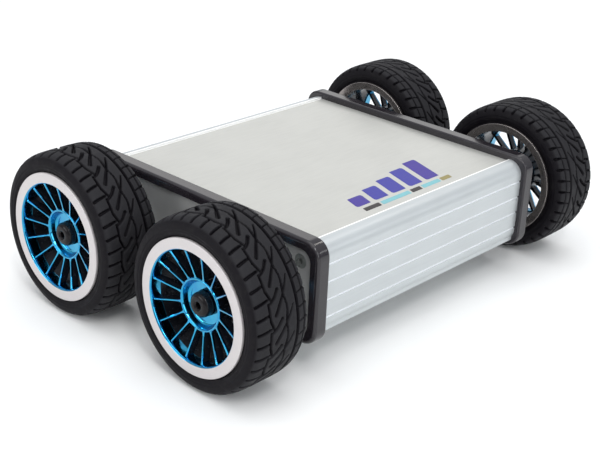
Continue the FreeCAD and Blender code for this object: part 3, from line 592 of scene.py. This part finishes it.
def tread_depth(around, across):
    """How deep the tread is cut: around and across are in millimetres along the surface.

    The pattern isn't the same on its two sides. Long and short drops lean across the middle,
    three grooves run all the way round, and each shoulder is cut into blocks."""
    waver = 0.3 * np.sin(TAU * (around - across) / TREAD_PITCH)
    cuts = [
        stroke(across, around, LONG_DROP, TREAD_PITCH),
        0.9 * stroke(across, around, SHORT_DROP, TREAD_PITCH),
        stroke(across, around, ROW_STEP, TREAD_PITCH),
        stroke(across, around, ROW_SLANT, TREAD_PITCH),
        0.9 * stroke(across, around, OUTER_CUTS, TREAD_PITCH / 2),
        stroke(across, around, INNER_CUTS, TREAD_PITCH / 2),
        0.55 * stroke(across, around, INNER_SIPES, TREAD_PITCH / 2),
        0.8 * notch(across + 1.3 + waver, 0.7),
        notch(across + 6.2, 1.1),
        0.7 * notch(across + 9.6, 0.55),
    ]
    return TREAD_DEPTH * np.maximum.reduce(np.broadcast_arrays(*cuts))


def tyre_mesh(name, heading):
    """One tyre: a cut tread on a round section, and beads that reach behind the rim's lips."""
    half = smooth_path(TYRE_HALF, 24)
    whole = np.vstack([half[::-1] * (-1, 1), half[1:]])
    steps = np.linalg.norm(np.diff(whole, axis=0), axis=1)
    reached = np.concatenate([[0], np.cumsum(steps)])
    even = np.linspace(0, reached[-1], TYRE_ACROSS)
    outwards = np.interp(even, reached, whole[:, 0])
    radius = np.interp(even, reached, whole[:, 1])
    across = (even - reached[-1] / 2)[:, None]
    tangent = np.gradient(np.column_stack([outwards, radius]), axis=0)
    tangent /= np.linalg.norm(tangent, axis=1)[:, None]
    normal = np.column_stack([-tangent[:, 1], tangent[:, 0]])

    angle = np.arange(TYRE_TURNS) * TAU / TYRE_TURNS
    around = heading * angle * TYRE_RADIUS
    depth = tread_depth(around[None, :], across)
    off = np.abs(across)
    sunk = depth + RIB_DEPTH * sum(notch(off - place, width) for place, width in RIBS)
    out = outwards[:, None] - normal[:, :1] * sunk
    rad = radius[:, None] - normal[:, 1:] * sunk
    inner = np.array(BEAD + [(0, CARCASS_TOP)] + [(-a, b) for a, b in reversed(BEAD)])
    out = np.vstack([out, np.repeat(inner[:, :1], TYRE_TURNS, axis=1)])
    rad = np.vstack([rad, np.repeat(inner[:, 1:], TYRE_TURNS, axis=1)])
    rows = len(out)
    points = np.stack([rad * np.cos(angle), -out, rad * np.sin(angle)], axis=2).reshape(-1, 3)

    row = np.arange(rows)[:, None]
    column = np.arange(TYRE_TURNS)[None, :]
    beside = (column + 1) % TYRE_TURNS
    below = (row + 1) % rows
    quads = np.stack([row * TYRE_TURNS + column, row * TYRE_TURNS + beside,
                      below * TYRE_TURNS + beside, below * TYRE_TURNS + column], axis=2)
    thing = finish_mesh(name, points, quads.reshape(-1, 4).tolist(),
                        [MATERIALS["tyre_rubber"]], sharp_degrees=60)
    worn = np.zeros((rows, TYRE_TURNS))
    worn[:TYRE_ACROSS] = (1 - depth / TREAD_DEPTH) * fade(off, *WEAR_ENDS)
    layer = thing.data.attributes.new("tread", "FLOAT", "POINT")
    layer.data.foreach_set("value", worn.ravel().astype(np.float32))
    outward_normals(thing)
    return thing


def make_tyres():
    models = {"right": tyre_mesh("tyre_model_right", 1), "left": tyre_mesh("tyre_model_left", -1)}
    stand_in_wheels(models, "tread_", "tyre_")


# ---------------------------------------------------------------- rims

# Radii and distances outwards from the wheel's middle, in millimetres.
RIM_EDGE = 13.0
LIP_BACK = 11.8
SEAT_EDGE = 8.8
HUB_FACE = 8.9
HUB_FLOOR = 6.0
HUB_WEB = 2.9
HUB_BACK = -2.1
HEX_HALF = 6.05
BARREL_BORE = 21.3
RIM_TURNS = 192             # points round the hoop
HUB_TURNS = 96              # points round the hub

HOOP = [(21.45, RIM_EDGE, 0.25), (25.4, RIM_EDGE, 0.3), (25.4, LIP_BACK, 0.2),
        (22.9, LIP_BACK, 0.1), (22.9, SEAT_EDGE, 0.3), (23.6, SEAT_EDGE, 0.3),
        (23.6, -SEAT_EDGE, 0.3), (22.9, -SEAT_EDGE, 0.3), (22.9, -LIP_BACK, 0.1),
        (24.7, -LIP_BACK, 0.2), (24.7, -RIM_EDGE, 0.3), (21.1, 0.6 - RIM_EDGE, 0.4),
        (BARREL_BORE, -10.0, 0.5), (BARREL_BORE, 7.9, 0.1), (20.75, 8.3, 0.15),
        (20.9, RIM_EDGE - 1.4, 0.3), (21.0, RIM_EDGE - 0.5, 0.3)]

HUB = [(10.1, HUB_BACK + 1.5, 0.5), (10.1, HUB_FACE - 0.5, 0.5), (9.75, HUB_FACE, 0.4),
       (9.2, HUB_FACE, 0.4), (8.75, HUB_FLOOR + 2.0, 0.5), (8.3, HUB_FLOOR + 0.6, 0.6),
       (7.7, HUB_FLOOR, 0.4), (2.1, HUB_FLOOR, 0.1), (2.1, HUB_WEB, 0.1),
       (HEX_HALF, HUB_WEB, 0.0), (HEX_HALF, HUB_BACK, 0.0), (9.4, HUB_BACK, 0.4)]

# A spoke, in millimetres: half widths across it, and distances along its reach from the axle.
SPOKE_INNER = 9.3
SPOKE_OUTER = 21.7
SPOKE_SUNK = 0.25           # front of the spokes behind the face of the hub
SPOKE_RISE = 3.35           # how far the front climbs from the hub to the lip
SPOKE_CURVE = 1.12
SPOKE_DEPTHS = (4.0, 3.3)   # along the axle, at the hub and at the lip
SPOKE_SLIM = 0.29           # half width in front
SPOKE_THICK = 0.60          # half width at the back
SPOKE_EDGE = 0.13
SLIM_FLARE, THICK_FLARE = 0.5, 0.6  # share of a flare that the front and the back take
HUB_FLARE = (0.8, 9.8, 0.6)         # height, place and length of the flare at the hub
LIP_FLARE = (0.3, 21.4, 0.4)        # and at the barrel
PLATED = 0.8                # how far the blue plating reaches back along the side of a spoke

# Where the rim's finishes change: radii, and distances outwards.
LIP_START = 21.5
BARREL_START = 20.5
HUB_SKIN = (9.9, 10.3)
HUB_BLUE = 5.0
BARREL_BLUE = 7.5
FRONT_BLUE = 2.0

# The rim's finishes, in the order of its material slots.
RIM_FINISHES = {"blue": MATERIALS["rim_blue"], "silver": silver_lip(), "dark": dark_chrome(),
                "smoke": smoke_chrome()}


def spoke_front(radius):
    """How far outwards the front edge of a spoke is, at that radius."""
    share = np.clip((radius - SPOKE_INNER) / (SPOKE_OUTER - SPOKE_INNER), 0, 1)
    return HUB_FACE - SPOKE_SUNK + SPOKE_RISE * share ** SPOKE_CURVE


def flare(away, height, length):
    return height * np.exp(-away / length)


def spoke(steps=18):
    """One blade from hub to lip, narrow in front, flared where it meets the hub and the barrel.

    It lies along +X, with outwards at -Y."""
    reach = np.linspace(SPOKE_INNER, SPOKE_OUTER, steps)
    front = spoke_front(reach)
    back = front - np.linspace(*SPOKE_DEPTHS, steps)
    flares = (flare(reach - HUB_FLARE[1], HUB_FLARE[0], HUB_FLARE[2])
              + flare(LIP_FLARE[1] - reach, LIP_FLARE[0], LIP_FLARE[2]))
    rows = []
    for radius, near, far, wider in zip(reach, front, back, flares):
        slim = SPOKE_SLIM + SLIM_FLARE * wider
        thick = SPOKE_THICK + THICK_FLARE * wider
        waist = slim + (thick - slim) * PLATED / (near - far)
        half = [(slim - SPOKE_EDGE, near), (slim, near - SPOKE_EDGE), (waist, near - PLATED),
                (thick, far + SPOKE_EDGE), (thick - SPOKE_EDGE, far)]
        section = half + [(-sideways, outwards) for sideways, outwards in reversed(half)]
        rows.append([(radius, -outwards, sideways) for sideways, outwards in section])
    points = np.array(rows).reshape(-1, 3)
    around = len(rows[0])
    faces = [tuple(range(around)), tuple(reversed(range(len(points) - around, len(points))))]
    for row in range(steps - 1):
        for index in range(around):
            beside = (index + 1) % around
            faces.append((row * around + index, (row + 1) * around + index,
                          (row + 1) * around + beside, row * around + beside))
    return points, faces


def rim_finish(radius, outwards, looks_back):
    """Which finish the rim has at that radius and distance outwards, in millimetres."""
    if radius > LIP_START and outwards > LIP_BACK + 0.1:
        return "silver"
    if radius > BARREL_START and outwards < 0.8 - LIP_BACK:
        return "smoke"
    on_spoke = HUB_SKIN[1] < radius < BARREL_START
    spoke_side = on_spoke and outwards < spoke_front(radius) - PLATED
    hub_wall = HUB_SKIN[0] < radius < HUB_SKIN[1] and outwards < HUB_BLUE
    barrel = radius > BARREL_START and outwards < BARREL_BLUE
    behind = outwards < FRONT_BLUE or looks_back
    return "dark" if spoke_side or hub_wall or barrel or behind else "blue"


def rim_slot(polygon):
    """The material slot of one of the rim's faces."""
    radius = math.hypot(polygon.center.x, polygon.center.z) / MM
    finish = rim_finish(radius, -polygon.center.y / MM, polygon.normal.y > 0.5)
    return list(RIM_FINISHES).index(finish)


def rim_mesh(name):
    """Hoop, spokes and hub in one piece, with a finish for each face."""
    hub_path = softened(HUB, 0.3)
    in_hexagon = [abs(radius - HEX_HALF) < 1e-6 and outwards < HUB_WEB + 0.01
                  for radius, outwards in hub_path]
    blade = spoke()
    pieces = [lathe(softened(HOOP, 0.3, 4), RIM_TURNS), lathe(hub_path, HUB_TURNS, in_hexagon)]
    pieces += [(turned(blade[0], index * TAU / SPOKES), blade[1]) for index in range(SPOKES)]
    points, faces = merged(pieces)
    thing = finish_mesh(name, points, faces, RIM_FINISHES.values(), sharp_degrees=40)
    outward_normals(thing)
    thing.data.polygons.foreach_set("material_index",
                                    [rim_slot(polygon) for polygon in thing.data.polygons])
    return thing


def make_rims():
    model = rim_mesh("rim_model")
    stand_in_wheels({"right": model, "left": model}, "wheel_rim_", "rim_")


# ---------------------------------------------------------------- wheel screws

SCREW_HEAD = 4.75
SCREW_TOP = HUB_FLOOR + 3.8
SCREW_END = -4.9
THREAD = 2.0
KEY_HALF = 1.25             # half width of the hexagonal socket
KEY_FLOOR = SCREW_TOP - 2.2
ALMOST_AXIS = 0.02

SCREW = [(THREAD, SCREW_END, 0.3), (THREAD, HUB_FLOOR, 0.05), (4.5, HUB_FLOOR, 0.1),
         (SCREW_HEAD, HUB_FLOOR + 0.5, 0.1), (SCREW_HEAD - 0.15, HUB_FLOOR + 0.7, 0.1),
         (SCREW_HEAD - 0.1, SCREW_TOP - 1.1, 0.9), (SCREW_HEAD - 1.3, SCREW_TOP, 0.7),
         (1.9, SCREW_TOP, 0.15), (KEY_HALF, SCREW_TOP - 0.5, 0.0), (KEY_HALF, KEY_FLOOR, 0.0),
         (ALMOST_AXIS, KEY_FLOOR - 0.1, 0.0), (ALMOST_AXIS, SCREW_END, 0.0)]


def make_wheel_screws():
    """Round black heads with a hexagonal socket, on the thread that holds the rim."""
    path = softened(SCREW, 0.2, 4)
    in_hexagon = [abs(radius - KEY_HALF) < 1e-6 for radius, _ in path]
    model = finish_mesh("screw_model", *lathe(path, 72, in_hexagon), [MATERIALS["screw_black"]])
    outward_normals(model)
    stand_in_wheels({"right": model, "left": model}, "wheel_nut_", "wheel_screw_")


# ---------------------------------------------------------------- emblem on the cover

# In millimetres, across X and along Y from its middle.
EMBLEM_AT = (38.3, 7.0)
INK = 0.06                  # thickness of the print
LEAN = -0.35                # how far the print leans along Y, for each millimetre across X
BARS = 5
BAR_STEP = 10.6
BAR_START = -33.0
BAR_WIDTH = 7.8
BAR_TOP = -1.5              # far end of the shortest bar
BAR_GROWTH = -2.6
BAR_FOOT = 6.0
BLOCKS_ACROSS = (8.0, 10.6)
BLOCKS = [(-33.0, -24.0, "black"), (-23.0, -6.0, "teal"), (-5.0, 1.0, "black"),
          (2.0, 13.0, "teal"), (14.0, 20.0, "ochre")]


def slab(name, corners, material):
    """Thin print on the cover, from its corners."""
    count = len(corners)
    points = []
    for level in (0.0, INK):
        for x, y in corners:
            points.append((EMBLEM_AT[0] + x, EMBLEM_AT[1] + y, COVER_TOP / MM + level))
    faces = [tuple(reversed(range(count))), tuple(range(count, 2 * count))]
    for index in range(count):
        beside = (index + 1) % count
        faces.append((index, beside, count + beside, count + index))
    thing = finish_mesh(name, points, faces, [material])
    outward_normals(thing)
    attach(thing, "chassis")


def leaning_bar(x_low, x_high, y_low, y_high, radius):
    """Corners of a bar that leans, with two of its corners rounded."""
    spots = [(x_low, y_low, 0.0), (x_high, y_low, radius), (x_high, y_high, 0.0),
             (x_low, y_high, radius)]
    return [(x, y + LEAN * (x - x_high)) for x, y in softened(spots, 0.0, 5)]


def make_emblem():
    """Five leaning bars of growing length over a strip of small blocks: no lettering."""
    violet = printed("print_violet", (0.036, 0.018, 0.235))
    blue = printed("print_blue", (0.028, 0.028, 0.27))
    inks = {"teal": printed("print_teal", (0.17, 0.42, 0.46)),
            "black": printed("print_black", (0.022, 0.018, 0.018)),
            "ochre": printed("print_ochre", (0.24, 0.20, 0.07))}
    for index in range(BARS):
        low = BAR_START + BAR_STEP * index
        bar = leaning_bar(BAR_TOP + BAR_GROWTH * index, BAR_FOOT, low, low + BAR_WIDTH, 1.6)
        slab("emblem_bar_{}".format(index + 1), bar, blue if 0 < index < BARS - 1 else violet)
    for index, (low, high, ink) in enumerate(BLOCKS):
        block = leaning_bar(*BLOCKS_ACROSS, low, high, 0.5)
        slab("emblem_block_{}".format(index + 1), block, inks[ink])


# ---------------------------------------------------------------- CAD nodes that stay


def dress_cad_nodes():
    slots = {row["node"]: row["material_slot"] for row in frame["record"]["subparts"]}
    for name, thing in frame["nodes"].items():
        material = GUNMETAL if name.startswith("panel_screws") else MATERIALS[slots[name]]
        thing.data.materials.clear()
        thing.data.materials.append(material)


# ---------------------------------------------------------------- stage, light and camera

CAMERA_AZIMUTH = 42.305
CAMERA_ELEVATION = 24.109
CAMERA_ROLL = 2.705
CAMERA_DISTANCE = 0.4977
CAMERA_SIDESTEP = -0.00596       # to the camera's right, off the line to its middle point
CAMERA_RISE = -0.01181           # and up
CAMERA_LENS = 71.2

FLOOR_REACH = 4.0
AIM = (0, 0, 0.03)               # what the lights face
HORIZON = (0.34, 0.36, 0.39, 1)
OVERHEAD = (0.93, 0.95, 0.98, 1)

# Name, place, width, height, power and colour. The glints are the highlights on the frames' corners.
LIGHTS = [
    ("overhead", (0.1, -0.1, 1.0), 1.0, 1.0, 3.5, (1, 1, 1)),
    ("behind", (-0.7, 0.9, 0.55), 1.0, 0.5, 1.4, (1.0, 0.97, 0.93)),
    ("front", (1.1, -0.4, 0.5), 0.5, 0.7, 2.9, (0.95, 0.98, 1.0)),
    ("right", (-0.3, -1.1, 0.5), 0.7, 0.35, 3.5, (1, 1, 1)),
    ("small", (0.75, -0.55, 1.1), 0.16, 0.3, 3.2, (1, 1, 1)),
    ("glint_high", (0.06, 0.80, 0.90), 0.10, 0.10, 0.45, (1.0, 0.95, 0.9)),
    ("glint_low", (0.78, 0.80, 0.42), 0.10, 0.10, 0.45, (1, 1, 1)),
]


def make_camera():
    azimuth, elevation = math.radians(CAMERA_AZIMUTH), math.radians(CAMERA_ELEVATION)
    roll = math.radians(CAMERA_ROLL)
    back = Vector((math.sin(azimuth) * math.cos(elevation),
                   -math.cos(azimuth) * math.cos(elevation), math.sin(elevation)))
    right = Vector((math.cos(azimuth), math.sin(azimuth), 0))
    up = back.cross(right)
    place = (Vector((0, 0, TYRE_RADIUS * MM)) + back * CAMERA_DISTANCE
             + right * CAMERA_SIDESTEP + up * CAMERA_RISE)
    level_right = math.cos(roll) * right + math.sin(roll) * up
    level_up = math.cos(roll) * up - math.sin(roll) * right
    data = bpy.data.cameras.new("camera")
    data.lens = CAMERA_LENS
    camera = bpy.data.objects.new("camera", data)
    camera.matrix_world = Matrix.Translation(place) @ Matrix(
        (level_right, level_up, back)).transposed().to_4x4()
    bpy.context.scene.collection.objects.link(camera)
    bpy.context.scene.camera = camera


def make_floor():
    """Plain pale floor with a very slight unevenness of tone."""
    corners = [(-FLOOR_REACH, -FLOOR_REACH, 0), (FLOOR_REACH, -FLOOR_REACH, 0),
               (FLOOR_REACH, FLOOR_REACH, 0), (-FLOOR_REACH, FLOOR_REACH, 0)]
    surface = Surface("studio_floor", (0.93, 0.93, 0.92), 0.9)
    surface.vary_color(surface.noise(300, detail=2.0), 0.3, 0.7, (0.92, 0.92, 0.91))
    floor = finish_mesh("floor", np.array(corners) / MM, [(0, 1, 2, 3)], [surface.material])


def soft_light(name, place, width, height, power, color):
    data = bpy.data.lights.new(name, "AREA")
    data.shape = "RECTANGLE"
    data.size = width
    data.size_y = height
    data.energy = power
    data.color = color
    light = bpy.data.objects.new(name, data)
    light.location = place
    light.rotation_mode = "QUATERNION"
    light.rotation_quaternion = (Vector(AIM) - Vector(place)).to_track_quat("-Z", "Y")
    bpy.context.scene.collection.objects.link(light)


def make_light():
    """A sky that brightens with height, and the soft lights."""
    world = bpy.data.worlds.new("studio")
    world.use_nodes = True
    tree = world.node_tree
    place = tree.nodes.new("ShaderNodeTexCoord")
    parts = tree.nodes.new("ShaderNodeSeparateXYZ")
    height = tree.nodes.new("ShaderNodeMapRange")
    tone = tree.nodes.new("ShaderNodeMix")
    tone.data_type = "RGBA"
    tone.inputs[MIX_FIRST].default_value = HORIZON
    tone.inputs[MIX_SECOND].default_value = OVERHEAD
    tree.links.new(place.outputs["Generated"], parts.inputs[0])
    tree.links.new(parts.outputs["Z"], height.inputs["Value"])
    tree.links.new(height.outputs["Result"], tone.inputs[MIX_SHARE])
    tree.links.new(tone.outputs[MIX_RESULT], tree.nodes["Background"].inputs["Color"])
    bpy.context.scene.world = world
    bpy.context.scene.view_settings.view_transform = "Standard"
    for light in LIGHTS:
        soft_light(*light)


# ---------------------------------------------------------------- build

make_camera()
make_floor()
make_light()
dress_cad_nodes()
make_tyres()
make_rims()
make_wheel_screws()
make_emblem()
